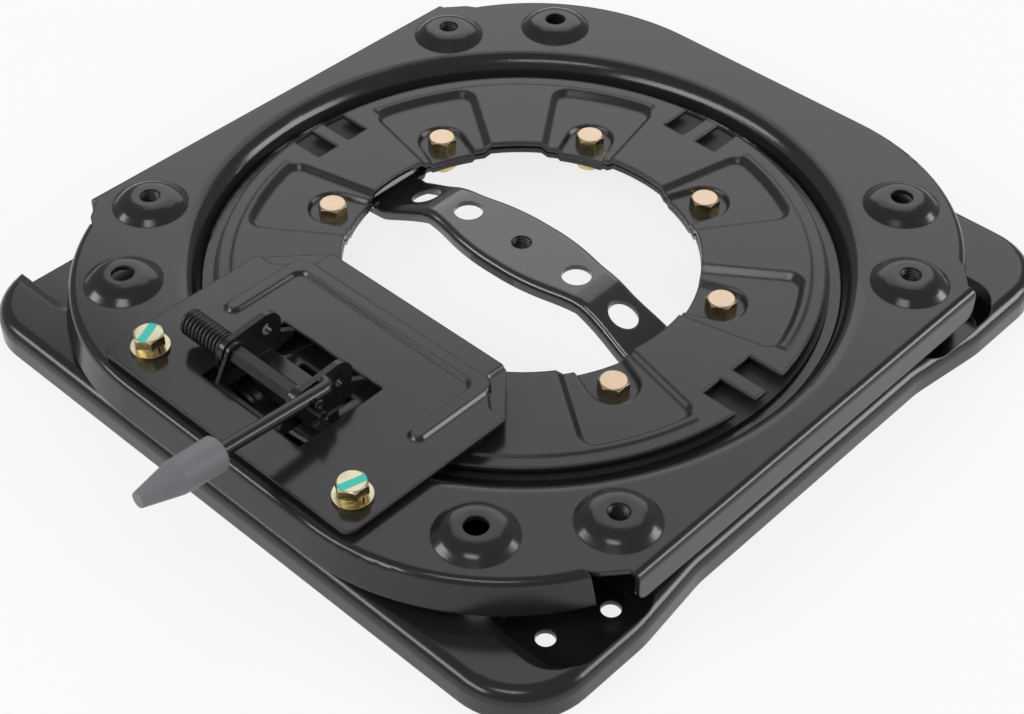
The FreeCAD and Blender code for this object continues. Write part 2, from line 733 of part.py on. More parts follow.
def turntable_plate():
    bosses = []
    holes = [disc(RECESS_R + RECESS_FLAT - BOSS_STRIP, 0, DEEP)]
    for sx, sy in four_corners():
        for (x, y), hole_r in ((THREADED_BOSS, BOSS_THREAD_R), (PLAIN_BOSS, BOSS_HOLE_R)):
            bosses.append(boss(sx * x, sy * y, hole_r))
            holes.append(disc(BOSS_R + BOSS_STRIP / 2, 0, DEEP, sx * x, sy * y))
    plate = table_blank().cut(holes).fuse([recess()] + bosses).removeSplitter()
    cuts = [box(WINDOW_X, (WINDOW_Y[0], TABLE_WINDOW_BACK_Y), (LIP_TOP + TABLE_WINDOW_ABOVE_LIP, DEEP))]
    cuts += [disc(M8_HOLE_R, 0, DEEP, side * COVER_BOLT[0], COVER_BOLT[1]) for side in (-1, 1)]
    return plate.cut(cuts)


def turntable_weld_nuts():
    top = TABLE_TOP + BOSS_RISE - TABLE_SHEET
    x, y = THREADED_BOSS
    return Part.makeCompound([nut(sx * x, sy * y, top, WELD_NUT_FLATS, WELD_NUT_HEIGHT, BOSS_THREAD_R)
                              for sx, sy in four_corners()])


# Lock cover plate and what fastens it

def cover_outline():
    x, (cx, cy) = COVER_HALF_X, COVER_CHAMFER
    front, back = COVER_FRONT_Y, COVER_BACK_Y
    points = [(-x, front), (x, front), (x, cy), (cx, back), (-cx, back), (-x, cy)]
    radii = [COVER_CORNER_R, COVER_CORNER_R, COVER_SIDE_R, COVER_BACK_R, COVER_BACK_R, COVER_SIDE_R]
    return outline(points, radii)


def rib_wire(inset):
    """Outline of the pressed rib, a U that is open to the front."""
    x, back, front = RIB_OUTER_X - inset, RIB_BACK_Y - inset, RIB_FRONT_Y + inset
    width = RIB_WIDTH - 2 * inset
    points = [(-x, front), (-x + width, front), (-x + width, back - width), (x - width, back - width),
              (x - width, front), (x, front), (x, back), (-x, back)]
    tip = width / 2 - 5 * TOUCH
    inner, outer = RIB_INNER_R + inset, RIB_OUTER_R - inset
    return outline(points, [tip, tip, inner, inner, tip, tip, outer, outer])


def cover_body(shift):
    """Everything under the cover's face, with its rib and its bent back corners."""
    top = COVER_TOP - shift
    body = prism(rectangle((-DEEP * 2, DEEP * 2), (COVER_FRONT_Y - DEEP, 0)), 0, top)
    low, high = rib_wire(0.0), rib_wire(RIB_SLOPE)
    low.translate(point(0, 0, top - 10 * TOUCH))
    high.translate(point(0, 0, top + RIB_RISE))
    body = body.fuse(Part.makeLoft([low, high], True, True))
    back, side = COVER_BACK_Y + 2 * PAST, -COVER_HALF_X - 2 * PAST
    near_x, near_y = -COVER_CHAMFER[0] + PAST, COVER_CHAMFER[1] + PAST
    facet_x, facet_y = COVER_FACET
    points = [(near_x, back), (near_x, facet_y), (-facet_x, near_y), (side, near_y), (side, back)]
    facet = outline(points, [0.0, 3.0, 3.0, 0.0, 0.0])
    facet = drafted(facet, COVER_FACET_SLOPE, top - COVER_FACET_DROP, top + COVER_FACET_DROP / 4)
    return body.cut([facet, mirrored_x(facet)])


def lock_cover_plate():
    sheet = cover_body(0.0).cut(cover_body(COVER_SHEET))
    sheet = sheet.common(prism(cover_outline(), 0, DEEP))
    cuts = [prism(rectangle(WINDOW_X, WINDOW_Y, 1.0), 0, DEEP)]
    cuts += [disc(M8_HOLE_R, 0, DEEP, side * COVER_BOLT[0], COVER_BOLT[1]) for side in (-1, 1)]
    return sheet.cut(cuts)


def both_cover_bolts(make):
    return Part.makeCompound([make(side * COVER_BOLT[0], COVER_BOLT[1]) for side in (-1, 1)])


def lock_flat_washers():
    low = COVER_TOP
    return both_cover_bolts(lambda x, y: tube(FLAT_WASHER_R, M8_HOLE_R, low, low + FLAT_WASHER_THICK, x, y))


def spring_washer(x, y):
    """Split washer, cut through on one side."""
    low = COVER_TOP + FLAT_WASHER_THICK
    ring = tube(SPRING_WASHER_R, M8_HOLE_R, low, low + SPRING_WASHER_THICK, x, y)
    gap = box((x, x + 10), (y - 0.5, y + 0.5), (low, low + SPRING_WASHER_THICK))
    return ring.cut(gap)


def lock_spring_washers():
    return both_cover_bolts(spring_washer)


def lock_bolts():
    seat = COVER_TOP + FLAT_WASHER_THICK + SPRING_WASHER_THICK
    return both_cover_bolts(lambda x, y: bolt(x, y, seat, COVER_BOLT_LENGTH))


def lock_weld_nuts():
    top = TABLE_TOP - TABLE_SHEET
    bore = M8_R + NUT_BORE_PLAY
    return both_cover_bolts(lambda x, y: nut(x, y, top, M8_FLATS, M8_NUT, bore))


# Latch, fixed to the turntable

def lug_profile(x0, x1):
    """Upright lug that carries the pivot pin."""
    front = WINDOW_Y[0] + LUG_GAP
    eye = bar_x(LUG_R, x0, x1, PIVOT_Y, PIVOT_Z)
    low = TABLE_TOP
    corners = [(front, low), (LUG_BACK_Y, low), (PIVOT_Y + LUG_R, PIVOT_Z),
               (PIVOT_Y - LUG_R * 0.6, PIVOT_Z + LUG_R * 0.8), (front, COVER_TOP)]
    wire = Part.makePolygon([sideways(*c) for c in corners + corners[:1]])
    face = Part.Face(wire)
    face.translate(point(x0, 0, 0))
    return face.extrude(point(x1 - x0, 0, 0)).fuse(eye)


def latch_bracket():
    """Folded bracket under the cover: a flange, a low front wall and two lugs for the pivot pin."""
    sheet = BRACKET_SHEET
    left, right = PAWL_LEFT_X + LUG_GAP, PAWL_RIGHT_X - LUG_GAP
    front = WINDOW_Y[0]
    back = front + LUG_GAP + sheet
    flange = box((-FLANGE_HALF_X, FLANGE_HALF_X), (FLANGE_FRONT_Y, back), (TABLE_TOP, COVER_BOTTOM))
    gap = box((WINDOW_X[0] - 2, left), (front, front + 5), (0, DEEP))
    other_gap = box((right, WINDOW_X[1] + 2), (front, front + 5), (0, DEEP))
    wall = box((left, right), (front + LUG_GAP, back), (TABLE_TOP, COVER_TOP))
    lugs = [lug_profile(left, left + sheet), lug_profile(right - sheet, right)]
    solid = flange.cut([gap, other_gap]).fuse([wall] + lugs)
    cuts = [bar_x(PIN_R + PIN_FIT, left - 1, right + 1, PIVOT_Y, PIVOT_Z)]
    cuts += [disc(M8_HOLE_R, 0, DEEP, side * COVER_BOLT[0], COVER_BOLT[1]) for side in (-1, 1)]
    return solid.cut(cuts)


def pivot_pin():
    """Pin of the latch, slotted at one end for the spring and drilled at the other for the cotter."""
    shoulder = PAWL_RIGHT_X + PAWL_SHEET + LUG_GAP
    body = bar_x(PIN_R, PIN_LEFT_X, shoulder, PIVOT_Y, PIVOT_Z)
    body = body.fuse(bar_x(PIN_END_R, shoulder, PIN_RIGHT_X, PIVOT_Y, PIVOT_Z))
    slot = box((PIN_LEFT_X - 1, PIN_LEFT_X + PIN_SLOT_DEPTH), (PIVOT_Y - 5, PIVOT_Y + 5),
               (PIVOT_Z - PIN_SLOT / 2, PIVOT_Z + PIN_SLOT / 2))
    hole = Part.makeCylinder(COTTER_WIRE_R + PIN_FIT, 10, point(COTTER_X, PIVOT_Y, PIVOT_Z - 5))
    return body.cut([slot, hole])


def pivot_spacer():
    """Hexagonal spacer between the two lugs."""
    x0 = PAWL_LEFT_X + 2 * LUG_GAP + BRACKET_SHEET
    x1 = PAWL_RIGHT_X - 2 * LUG_GAP - BRACKET_SHEET
    bar = hexagon(SPACER_FLATS, x0, x1)
    bar.rotate(point(0, 0), point(0, 1, 0), 90)
    bar.translate(point(0, PIVOT_Y, PIVOT_Z))
    return bar.cut(bar_x(PIN_R + PIN_FIT, x0, x1, PIVOT_Y, PIVOT_Z))


def bent_wire(points, radius):
    """Round wire that is bent at each point."""
    start, following = points[:2]
    path = Part.Wire(Part.makePolygon(points))
    section = Part.Wire(Part.makeCircle(radius, start, following - start))
    pipe = Part.BRepOffsetAPI.MakePipeShell(path)
    pipe.setTransitionMode(1)
    pipe.add(section, False, False)
    pipe.build()
    pipe.makeSolid()
    return pipe.shape()


def torsion_spring():
    """Coil round the pin, with one end in the slot of the pin and a hooked leg beside the pawl."""
    length = SPRING_PITCH * SPRING_TURNS
    right = PAWL_LEFT_X - PAWL_SHEET - LUG_GAP - SPRING_WIRE_R
    left = right - length
    steps = round(SPRING_TURNS * SPRING_TURN_SIDES)
    points = [point(left, PIVOT_Y - PIN_R, PIVOT_Z)]
    for i in range(steps + 1):
        turn = 2 * math.pi * i / SPRING_TURN_SIDES
        points.append(point(left + length * i / steps, PIVOT_Y + SPRING_COIL_R * math.cos(turn),
                            PIVOT_Z + SPRING_COIL_R * math.sin(turn)))
    knee_y, knee_z = PIVOT_Y - SPRING_COIL_R, PIVOT_Z - SPRING_LEG
    points += [point(right, knee_y, knee_z), point(PAWL_LEFT_X, knee_y, knee_z)]
    return bent_wire(points, SPRING_WIRE_R)


def split_pin():
    """Cotter through the end of the pivot pin, with its two legs bent apart."""
    low, high = PIVOT_Z + COTTER_LOW, PIVOT_Z + COTTER_HIGH
    shaft = Part.makeCylinder(COTTER_WIRE_R, high - low, point(COTTER_X, PIVOT_Y, low))
    turns = [2 * math.pi * i / COTTER_EYE_SIDES for i in range(COTTER_EYE_SIDES + 1)]
    eye_z = high + COTTER_EYE_R
    thin = COTTER_WIRE_R * 0.8
    eye = bent_wire([point(COTTER_X, PIVOT_Y + COTTER_EYE_R * math.sin(a), eye_z - COTTER_EYE_R * math.cos(a))
                     for a in turns], thin)
    foot = point(COTTER_X, PIVOT_Y, low + thin / 2)
    legs = [Part.makeCylinder(thin, COTTER_LEG, foot, point(0, side, -COTTER_LEG_DROP)) for side in (1, -1)]
    return shaft.fuse([eye] + legs)


# Latch, turning on the pin

def cheek(x0, slotted):
    """Side of the pawl: an eye at the back, a pivot boss and a tail under the cover's edge."""
    eye_z = PIVOT_Z + EYE_RISE
    x1 = x0 + PAWL_SHEET
    web_low = COVER_TOP - WEB_BELOW_COVER - PAWL_SHEET
    tail_back = WINDOW_Y[1] - PAWL_TAIL_GAP
    tail_top, tail_low = [COVER_TOP + rise for rise in PAWL_TAIL]
    body = [(PIVOT_Y, PIVOT_Z + PAWL_PIVOT_R), (EYE_Y, eye_z + EYE_R), (EYE_Y + EYE_R, eye_z),
            (EYE_Y + EYE_R - PAST, COVER_TOP + 5 * PAST), (tail_back, tail_top), (tail_back, tail_low),
            (WEB_Y[1], web_low), (WEB_Y[0] - PAST, web_low),
            (PIVOT_Y + PAWL_SHEET, PIVOT_Z - PAWL_HEEL_BELOW - PAST),
            (PIVOT_Y, PIVOT_Z - PAWL_HEEL_BELOW), (PIVOT_Y - PAWL_PIVOT_R, PIVOT_Z)]
    wire = Part.makePolygon([sideways(*c) for c in body + body[:1]])
    face = Part.Face(wire)
    face.translate(point(x0, 0, 0))
    plate = face.extrude(point(PAWL_SHEET, 0, 0))
    plate = plate.fuse([bar_x(EYE_R, x0, x1, EYE_Y, eye_z), bar_x(PAWL_PIVOT_R, x0, x1, PIVOT_Y, PIVOT_Z)])
    hole = bar_x(EYE_HOLE_R, x0, x1, EYE_Y, eye_z)
    if slotted:
        ends = (eye_z - PAWL_SLOT_HALF, eye_z + PAWL_SLOT_HALF)
        hole = box((x0, x1), (EYE_Y - PAWL_SLOT_R, EYE_Y + PAWL_SLOT_R), ends)
        hole = hole.fuse([bar_x(PAWL_SLOT_R, x0, x1, EYE_Y, z) for z in ends])
    return plate.cut([hole, bar_x(PIN_R + PIN_FIT, x0, x1, PIVOT_Y, PIVOT_Z)])


def latch_pawl():
    """Pawl folded from one sheet: two cheeks, a web and two teeth for the notches of the ring."""
    web_top = COVER_TOP - WEB_BELOW_COVER
    web = box((PAWL_LEFT_X, PAWL_RIGHT_X), WEB_Y, (web_top - PAWL_SHEET, web_top))
    back = (WEB_Y[1] - PAWL_SHEET, WEB_Y[1])
    low = RING_TOP + FRAME_RISE + TOOTH_GAP
    inner, outer = NOTCH_INNER + TOOTH_PLAY, NOTCH_OUTER - TOOTH_PLAY
    right_outer = min(outer, PAWL_RIGHT_X + PAWL_SHEET)
    teeth = [box((-outer, -inner), back, (low, web_top)), box((inner, right_outer), back, (low, web_top))]
    cheeks = [cheek(PAWL_LEFT_X - PAWL_SHEET, False), cheek(PAWL_RIGHT_X, True)]
    return cheeks[0].fuse([cheeks[1], web] + teeth)


def rod_direction():
    angle = math.radians(ROD_SLOPE)
    return point(0, -math.cos(angle), math.sin(angle))


def lever_rod():
    """Round bar that is welded to the right cheek, bent once and led out over the front edge."""
    along = rod_direction()
    bend = point(ROD_X, ROD_START_Y, COVER_TOP + ROD_START_RISE)
    weld = point(PAWL_RIGHT_X + PAWL_SHEET, ROD_START_Y, COVER_TOP + ROD_START_RISE)
    end = bend + along * (GRIP_START + GRIP_CYLINDER)
    radius = min(ROD_BEND_R, ROD_X - weld.x)
    edges = rounded_edges([weld, bend, end], [0.0, radius * 0.95, 0.0], False)
    section = Part.Wire(Part.makeCircle(ROD_R, weld, point(1, 0, 0)))
    return Part.Wire(edges).makePipeShell([section], True, True)


def lever_grip():
    """Moulded grip: a cylinder that narrows to a small flat end."""
    start = point(ROD_X, ROD_START_Y, COVER_TOP + ROD_START_RISE) + rod_direction() * GRIP_START
    length = GRIP_CYLINDER + GRIP_CONE
    section = [(0, GRIP_R - GRIP_EDGE), (GRIP_EDGE, GRIP_R), (GRIP_CYLINDER, GRIP_R - GRIP_TAPER)]
    corners = [(0, 0)] + section + [(length, GRIP_TIP_R), (length, 0)]
    face = Part.Face(Part.makePolygon([point(b, a) for a, b in corners + corners[:1]]))
    solid = face.revolve(point(0, 0), point(0, 1, 0), 360)
    solid = solid.cut(Part.makeCylinder(ROD_R, GRIP_CYLINDER, point(0, 0), point(0, 1, 0)))
    turn = FreeCAD.Rotation(point(0, 1, 0), rod_direction())
    solid.Placement = FreeCAD.Placement(start, turn)
    return solid


PIECES = {
    "base_plate": base_plate,
    "strap_middle": strap_middle,
    "retainer_ring": retainer_ring,
    "lower_glide_ring": lower_glide_ring,
    "ring_bolts": ring_bolts,
    "ring_washers": ring_washers,
    "ring_nuts": ring_nuts,
    "strap_weld_nut": strap_weld_nut,
    "turntable_plate": turntable_plate,
    "turntable_weld_nuts": turntable_weld_nuts,
    "upper_glide_ring": upper_glide_ring,
    "lock_cover_plate": lock_cover_plate,
    "latch_bracket": latch_bracket,
    "lock_bolts": lock_bolts,
    "lock_spring_washers": lock_spring_washers,
    "lock_flat_washers": lock_flat_washers,
    "lock_weld_nuts": lock_weld_nuts,
    "pivot_pin": pivot_pin,
    "pivot_spacer": pivot_spacer,
    "torsion_spring": torsion_spring,
    "split_pin": split_pin,
    "latch_pawl": latch_pawl,
    "lever_rod": lever_rod,
    "lever_grip": lever_grip,
}

if __name__ == "__main__":
    os.makedirs("parts", exist_ok=True)
    for name, make in PIECES.items():
        make().exportStep(f"parts/{name}.step")
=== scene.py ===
import math

import bpy
from mathutils import Matrix, Vector


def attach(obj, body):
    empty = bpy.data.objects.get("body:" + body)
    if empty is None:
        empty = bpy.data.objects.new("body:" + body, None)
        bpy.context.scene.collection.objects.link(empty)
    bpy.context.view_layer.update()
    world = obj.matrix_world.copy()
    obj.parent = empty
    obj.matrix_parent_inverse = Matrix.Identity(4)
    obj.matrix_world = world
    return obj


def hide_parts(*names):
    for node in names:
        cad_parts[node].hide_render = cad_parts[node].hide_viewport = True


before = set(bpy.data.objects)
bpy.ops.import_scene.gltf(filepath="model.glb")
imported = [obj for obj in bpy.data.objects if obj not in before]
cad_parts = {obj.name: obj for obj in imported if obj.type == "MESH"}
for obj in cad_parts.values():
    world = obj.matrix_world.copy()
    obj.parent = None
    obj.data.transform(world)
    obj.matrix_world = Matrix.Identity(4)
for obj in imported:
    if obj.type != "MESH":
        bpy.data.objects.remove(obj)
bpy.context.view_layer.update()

scene = bpy.context.scene

# Camera: stands above the front right corner and looks down at the swivel's middle through a
# long lens, with the latch and its handle at the lower left.
eye = Vector((0.4856, -0.5219, 0.6207))
aim = Vector((0.05619, -0.06607, 0.043))
roll_degrees = 0.191
lens = bpy.data.cameras.new("camera")
lens.lens = 67.4
lens.sensor_width = 36.0
camera = bpy.data.objects.new("camera", lens)
roll = Matrix.Rotation(math.radians(roll_degrees), 4, "Z")
look = (aim - eye).to_track_quat("-Z", "Y").to_matrix().to_4x4()
camera.matrix_world = Matrix.Translation(eye) @ look @ roll
scene.collection.objects.link(camera)
scene.camera = camera


# Base plate: one pressing of 2.5 mm sheet steel with a turned rim, four pockets that stand on the
# seat box and a raised hub. It is dipped in black paint, baked to a satin film with a faint orange
# peel, which is thinnest along the pressed edges. The paint is drawn lighter there: partly the
# thinner film, partly a painted highlight on the rounded edges.
class Socket:
    """An output of a material's nodes, with the arithmetic of its masks and heights."""

    def __init__(self, socket):
        self.socket = socket

    def maths(self, operation, first, second=0.0):
        tree = self.socket.id_data
        node = tree.nodes.new("ShaderNodeMath")
        node.operation = operation
        for slot, value in zip(node.inputs, (first, second)):
            if isinstance(value, Socket):
                tree.links.new(value.socket, slot)
            else:
                slot.default_value = value
        return Socket(node.outputs[0])

    def __add__(self, other):
        return self.maths("ADD", self, other)

    def __radd__(self, other):
        return self.maths("ADD", other, self)

    def __sub__(self, other):
        return self.maths("SUBTRACT", self, other)

    def __rsub__(self, other):
        return self.maths("SUBTRACT", other, self)

    def __mul__(self, other):
        return self.maths("MULTIPLY", self, other)

    def __rmul__(self, other):
        return self.maths("MULTIPLY", other, self)

    def __abs__(self):
        return self.maths("ABSOLUTE", self)

    def __gt__(self, other):
        return self.maths("GREATER_THAN", self, other)

    def __lt__(self, other):
        return self.maths("LESS_THAN", self, other)


class Finish:
    """One finish of the object, made of nodes."""

    def __init__(self, name, **constants):
        self.material = bpy.data.materials.new(name)
        self.material.use_nodes = True
        self.nodes = self.material.node_tree.nodes
        self.shader = self.nodes["Principled BSDF"]
        for socket, value in constants.items():
            self.shader.inputs[socket.replace("_", " ")].default_value = value

    def node(self, kind, settings=None, values=None, output=0):
        made = self.nodes.new("ShaderNode" + kind)
        for name, value in (settings or {}).items():
            if name == "stops":
                elements = made.color_ramp.elements
                while len(elements) < len(value):
                    elements.new(0.5)
                for element, (place, colour) in zip(elements, value):
                    element.position = place
                    element.color = colour
            else:
                setattr(made, name, value)
        for name, value in (values or {}).items():
            self.feed(made.inputs[name], value)
        return Socket(made.outputs[output])

    def feed(self, slot, value):
        if isinstance(value, Socket):
            self.material.node_tree.links.new(value.socket, slot)
        else:
            slot.default_value = value

    def blend(self, share, first, second):
        return self.node("Mix", {"data_type": "RGBA"}, {0: share, 6: first, 7: second}, output=2)

    def place(self):
        return self.node("TexCoord", output="Object")

    def axes(self):
        parts = self.node("SeparateXYZ", values={"Vector": self.place()})
        return [Socket(output) for output in parts.socket.node.outputs]

    def noise(self, scale, detail=2.0, roughness=0.5):
        values = {"Vector": self.place(), "Scale": scale, "Detail": detail, "Roughness": roughness}
        return self.node("TexNoise", values=values)

    def flat(self):
        return self.node("NewGeometry", output="Normal")

    def rounding(self, radius):
        """Normal of the edges rounded over a radius, and how strongly an edge is rounded there."""
        rounded = self.node("Bevel", {"samples": 6}, {"Radius": radius})
        kept = self.node("VectorMath", {"operation": "DOT_PRODUCT"}, {0: rounded, 1: self.flat()},
                         output="Value")
        return rounded, 1 - kept

    def bump(self, height, strength, distance, **under):
        """Normal of a height on the surface, or on the Normal that is under it."""
        values = {"Height": height, "Strength": strength, "Distance": distance, **under}
        return self.node("Bump", values=values)

    def surface(self, **values):
        for name, value in values.items():
            self.feed(self.shader.inputs[name.replace("_", " ")], value)
        return self


def dress(finish, *names):
    """Gives CAD nodes a finish in every material slot that they have."""
    for name in names:
        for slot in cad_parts[name].material_slots:
            slot.material = finish.material


def paint(name, shade, roughness, edge_radius, join=0.0, **constants):
    """Black paint on sheet steel, which rounds its edges. Where a bar is cut and goes on in
    another piece, at x = join and x = -join, nothing is rounded."""
    finish = Finish(name, IOR=1.5, **constants)
    mottle = finish.noise(scale=16.0, detail=5.0, roughness=0.6)
    peel = finish.noise(scale=420.0)
    grain = finish.noise(scale=2200.0, detail=3.0)
    rounded, edge = finish.rounding(edge_radius)
    if join:
        join_reach = 0.0014
        off_join = abs(abs(finish.axes()[0]) - join) > join_reach
        rounded = finish.node("Mix", {"data_type": "VECTOR"},
                              {0: off_join, 4: finish.flat(), 5: rounded}, output=1)
        edge = edge * off_join
    height = peel * 0.7 + grain * 0.12
    bump = finish.bump(height, strength=0.06, distance=0.0004, Normal=rounded)
    deep = (shade, shade, shade * 1.04, 1.0)
    pale = (shade * 1.5, shade * 1.5, shade * 1.55, 1.0)
    # Lighter colour along the edges: partly thinner paint, partly a painted highlight of the
    # rounded edge.
    thin_paint_and_highlight = (shade * 3.0, shade * 3.0, shade * 3.0, 1.0)
    film = finish.blend(mottle, deep, pale)
    colour = finish.blend(edge * 2.5, film, thin_paint_and_highlight)
    gloss = roughness + mottle * 0.07 + grain * 0.03 + edge * 0.2
    return finish.surface(Base_Color=colour, Roughness=gloss, Normal=bump)


strap_join = 0.024
pressed_paint = paint("pressed_paint", shade=0.012, roughness=0.13, edge_radius=0.0012,
                      join=strap_join, Coat_Roughness=0.14, Coat_IOR=1.5)
dress(pressed_paint, "base_plate")

# Strap: the cranked bar of the same sheet that crosses the opening, with turned-down edges and a
# threaded hole in its middle over a weld nut. The dip left a thicker, glossier film on it.
strap_half_length, strap_half_width, strap_coat = 0.088, 0.0205, 0.7
across, along = pressed_paint.axes()[:2]
on_strap = (abs(across) < strap_half_length) * (abs(along) < strap_half_width)
pressed_paint.surface(Coat_Weight=on_strap * strap_coat)
dress(pressed_paint, "strap_middle")


def blackened(name, shade, roughness):
    """Steel blackened in oil: a thin dark layer with the metal's sheen and rubbed edges."""
    finish = Finish(name, Metallic=0.85)
    stain = finish.noise(scale=90.0, detail=5.0, roughness=0.65)
    grain = finish.noise(scale=2600.0)
    rounded, edge = finish.rounding(radius=0.0003)
    bump = finish.bump(grain, strength=0.12, distance=0.0002, Normal=rounded)
    deep = (shade, shade, shade * 1.03, 1.0)
    brown = (shade * 1.5, shade * 1.46, shade * 1.42, 1.0)
    bright = (shade * 4.0, shade * 4.0, shade * 4.0, 1.0)
    colour = finish.blend(edge * 1.8, finish.blend(stain, deep, brown), bright)
    return finish.surface(Base_Color=colour, Roughness=roughness + stain * 0.15, Normal=bump)


dark_steel = blackened("dark_steel", shade=0.035, roughness=0.3)
dress(dark_steel, "strap_weld_nut")
thread_root, thread_crest, thread_pitch = 0.00503, 0.0043, 0.0015


def screw_ridge(name, body, place, low, high):
    """Ridge of the thread in a hole: a triangle led round its wall from one height to the other."""
    steps_a_turn = 36
    steps = round((high - low) / thread_pitch * steps_a_turn) - steps_a_turn
    section = ((thread_root, 0.02), (thread_crest, 0.5), (thread_root, 0.98))  # height in pitches
    corners, faces = [], []
    for i in range(steps + 1):
        turn = 2 * math.pi * i / steps_a_turn
        climb = low + thread_pitch * i / steps_a_turn
        for radius, rise in section:
            corners.append((place[0] + radius * math.cos(turn), place[1] + radius * math.sin(turn),
                            climb + rise * thread_pitch))
    for i in range(steps):
        for a, b in ((0, 1), (1, 2), (2, 0)):
            faces.append((3 * i + a, 3 * i + b, 3 * i + 3 + b, 3 * i + 3 + a))
    faces += [(0, 2, 1), (3 * steps, 3 * steps + 1, 3 * steps + 2)]
    mesh = bpy.data.meshes.new(name)
    mesh.from_pydata(corners, [], faces)
    mesh.update()
    piece = bpy.data.objects.new(name, mesh)
    scene.collection.objects.link(piece)
    mesh.materials.append(dark_steel.material)
    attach(piece, body)


screw_ridge("strap_thread", "base", place=(0.0, 0.0), low=0.0276, high=0.0379)

# Glide rings: two rings of black moulded plastic, matt and finely grained, between which the lip
# of the turntable runs. They lie loose between the base's race and the retainer ring.
glide = Finish("glide_plastic", IOR=1.46)
glide_grain = glide.noise(scale=1500.0, detail=3.0)
glide_cloud = glide.noise(scale=40.0, detail=3.0)
glide_bump = glide.bump(glide_grain, strength=0.2, distance=0.0002)
glide_colour = glide.blend(glide_cloud, (0.012, 0.012, 0.012, 1.0), (0.024, 0.024, 0.025, 1.0))
glide.surface(Base_Color=glide_colour, Roughness=0.45 + glide_grain * 0.15, Normal=glide_bump)
dress(glide, "lower_glide_ring", "upper_glide_ring")

# Turntable: a second pressing of the same sheet and paint, with a round well, eight raised bosses
# for the seat and edges folded or rolled down. Weld nuts sit under the four threaded bosses.
table_paint = paint("table_paint", shade=0.012, roughness=0.13, edge_radius=0.0010)
dress(table_paint, "turntable_plate")
dress(dark_steel, "turntable_weld_nuts")
threaded_boss = (0.152, 0.1036)
for number, (side, end) in enumerate(((1, 1), (1, -1), (-1, 1), (-1, -1)), 1):
    place = (side * threaded_boss[0], end * threaded_boss[1])
    screw_ridge(f"boss_thread_{number}", "turntable", place, low=0.0326, high=0.0429)

# Retainer ring: a third pressing, with eight lowered panels and the notches for the latch, which
# holds the turntable down. The borders of its panels are drawn softer than the sheet's edges.
ring_paint = paint("ring_paint", shade=0.013, roughness=0.16, edge_radius=0.0022)
dress(ring_paint, "retainer_ring")


# Ring bolts, nuts and washers: hexagon bolts that clamp the retainer ring to the base. Bolts and
# nuts have a yellow zinc coat, straw on the sides and a faint pink on the heads, with a fine grain
# from their forming. The washers are blackened.
def zinc(name, top):
    """Yellow zinc on steel, of another tint on top. Returns the finish and its colour's socket."""
    finish = Finish(name, Metallic=1.0)
    cloud = finish.noise(scale=140.0, detail=4.0, roughness=0.6)
    grain = finish.noise(scale=1700.0, detail=3.0)
    rounded, edge = finish.rounding(radius=0.00035)
    straw = [(0.32, (0.36, 0.27, 0.09, 1)), (0.45, (0.60, 0.46, 0.19, 1)),
             (0.55, (0.72, 0.57, 0.30, 1)), (0.68, (0.56, 0.39, 0.16, 1))]
    side = finish.node("ValToRGB", {"stops": straw}, {"Fac": cloud})
    own_normal = finish.node("TexCoord", output="Normal")
    on_top = finish.node("SeparateXYZ", values={"Vector": own_normal}, output="Z") > 0.8
    colour = finish.blend(on_top, side, finish.blend(cloud, top, (0.54, 0.44, 0.29, 1)))
    bump = finish.bump(grain, strength=0.14, distance=0.0002, Normal=rounded)
    gloss = 0.2 + cloud * 0.14 + edge * 0.1
    return finish.surface(Base_Color=colour, Roughness=gloss, Normal=bump), colour


gold_zinc = zinc("gold_zinc", top=(0.58, 0.42, 0.34, 1))[0]
dress(gold_zinc, "ring_bolts", "ring_nuts")
dress(dark_steel, "ring_washers")

# Lock cover: a flat plate with a pressed rib, glossier than the rest, held by two bolts through
# the bracket. A stroke of teal paint on each head shows that it was tightened.
cover_paint = paint("cover_paint", shade=0.013, roughness=0.10, edge_radius=0.0015)
dress(cover_paint, "lock_cover_plate")
dress(dark_steel, "lock_weld_nuts")
marked_zinc, bare_zinc = zinc("marked_zinc", top=(0.70, 0.72, 0.54, 1))
across, along, up = marked_zinc.axes()
ragged = marked_zinc.noise(scale=900.0) * 0.0012
bolt_x, bolt_y, head_top, head_reach = 0.066, -0.172, 0.0507, 0.009
stroke_half_width = 0.0021
strokes = []
for x, degrees, offset in ((-bolt_x, 114.0, 0.0002), (bolt_x, 75.0, 0.0016)):
    turn = math.radians(degrees)
    sidewards = (across - x) * math.sin(turn) - (along - bolt_y) * math.cos(turn)
    on_head = (abs(across - x) < head_reach) * (up > head_top)
    strokes.append((abs(sidewards - offset + ragged) < stroke_half_width) * on_head)
teal = (0.03, 0.56, 0.45, 1.0)
mark = strokes[0] + strokes[1]
marked_zinc.surface(Base_Color=marked_zinc.blend(mark, bare_zinc, teal), Metallic=1 - mark)
dress(marked_zinc, "lock_bolts", "lock_spring_washers", "lock_flat_washers")

# Latch on the turntable: a bracket folded from painted sheet, with two lugs, the blackened pivot
# pin through them, a spacer on it and a cotter at its end.
latch_paint = paint("latch_paint", shade=0.010, roughness=0.2, edge_radius=0.0004)
dress(latch_paint, "latch_bracket")
dress(dark_steel, "pivot_pin", "pivot_spacer", "split_pin")

